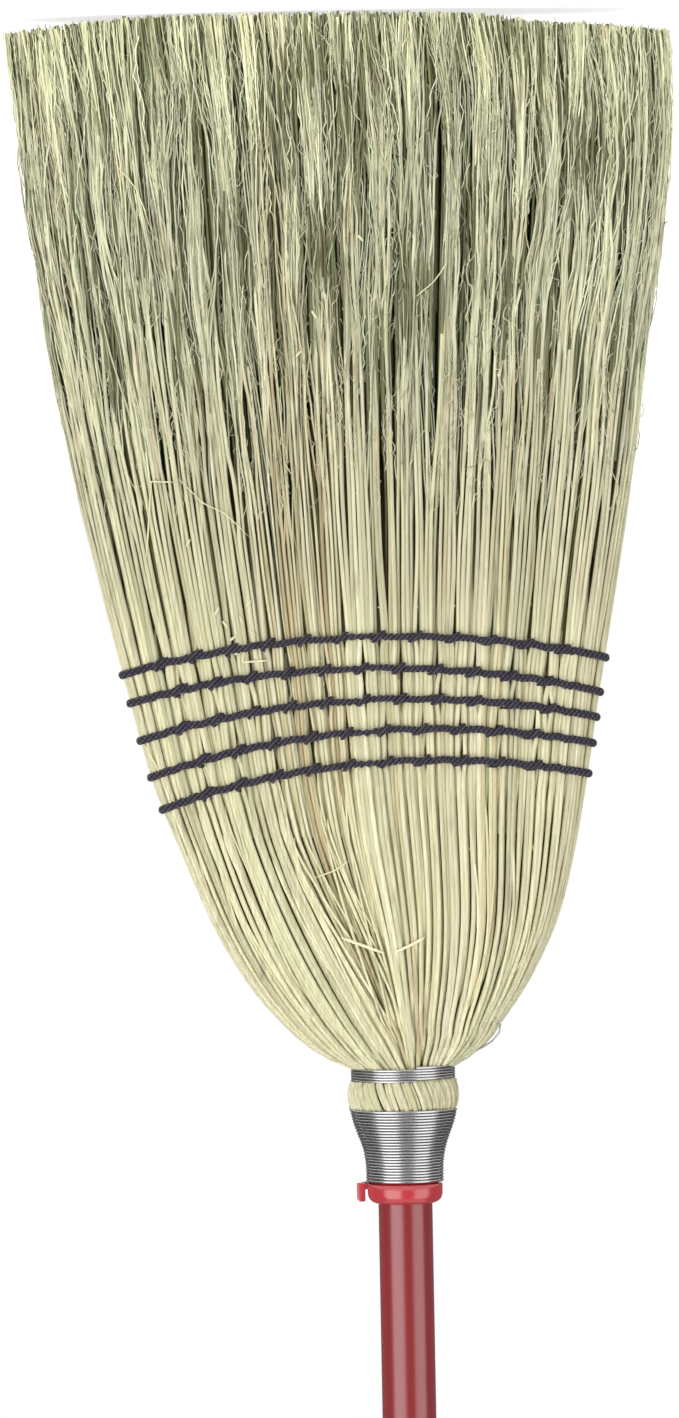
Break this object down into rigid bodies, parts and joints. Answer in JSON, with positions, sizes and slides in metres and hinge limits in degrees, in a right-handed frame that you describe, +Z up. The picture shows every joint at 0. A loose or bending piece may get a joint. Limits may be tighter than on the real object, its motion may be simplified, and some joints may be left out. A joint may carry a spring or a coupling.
{
  "type": "straw broom",
  "caption": "Flat-sewn straw broom: fanned straw head with sewn twine rows, wire-wound neck, plastic collar, coated tube handle and hanging cap.",
  "frame": {"origin": "on the handle's axis, at the level of the trimmed straw tips, in the middle of the thickness of the sweeping edge", "axes": "+Z up along the handle from the straw tips to the hanging cap; +X across the fan, towards the collar's lug and the side the fan leans to; +Y through the broom's thickness, so -Y is the face that the picture shows"},
  "size_m": [0.2916, 0.0519, 1.4223],
  "materials": {
    "handle_coating": "glossy dark red coating over steel tube",
    "red_plastic": "bright red moulded plastic with a soft sheen",
    "bright_wire": "bright drawn galvanised wire",
    "cover_straw": "matte pale yellow-green broomcorn",
    "inner_straw": "matte tan broomcorn",
    "navy_twine": "matte dark navy twisted twine"
  },
  "bodies": {
    "root": {"handle_tube": "handle_coating", "hang_cap": "red_plastic", "keeper_collar": "red_plastic", "neck_wire": "bright_wire", "cover_hurl": "cover_straw", "inside_corn": "inner_straw", "shoulder_left": "inner_straw", "shoulder_right": "inner_straw", "inside_binding": "bright_wire", "stitch_row_1": "navy_twine", "stitch_row_2": "navy_twine", "stitch_row_3": "navy_twine", "stitch_row_4": "navy_twine", "stitch_row_5": "navy_twine"}
  },
  "joints": []
}
